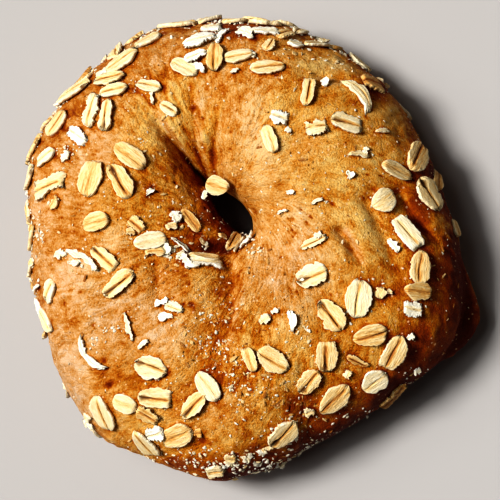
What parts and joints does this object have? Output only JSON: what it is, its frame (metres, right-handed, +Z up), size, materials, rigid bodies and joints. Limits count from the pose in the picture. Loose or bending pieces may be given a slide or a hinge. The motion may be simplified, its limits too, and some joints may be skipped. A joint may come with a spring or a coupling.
{
  "type": "bagel",
  "caption": "Ring-shaped bread roll with a narrow slanted hole, creases folding into it, a browned crust and rolled oats baked on.",
  "frame": {"origin": "on the resting plane z = 0, under the middle of the ring's overall box", "axes": "+Z up, out of the bagel's top; +X across the ring, towards its tucked rope end; +Y along its slightly longer width"},
  "size_m": [0.1137, 0.1162, 0.0384],
  "materials": {
    "crust": null
  },
  "bodies": {
    "root": {"bagel": "crust"}
  },
  "joints": []
}
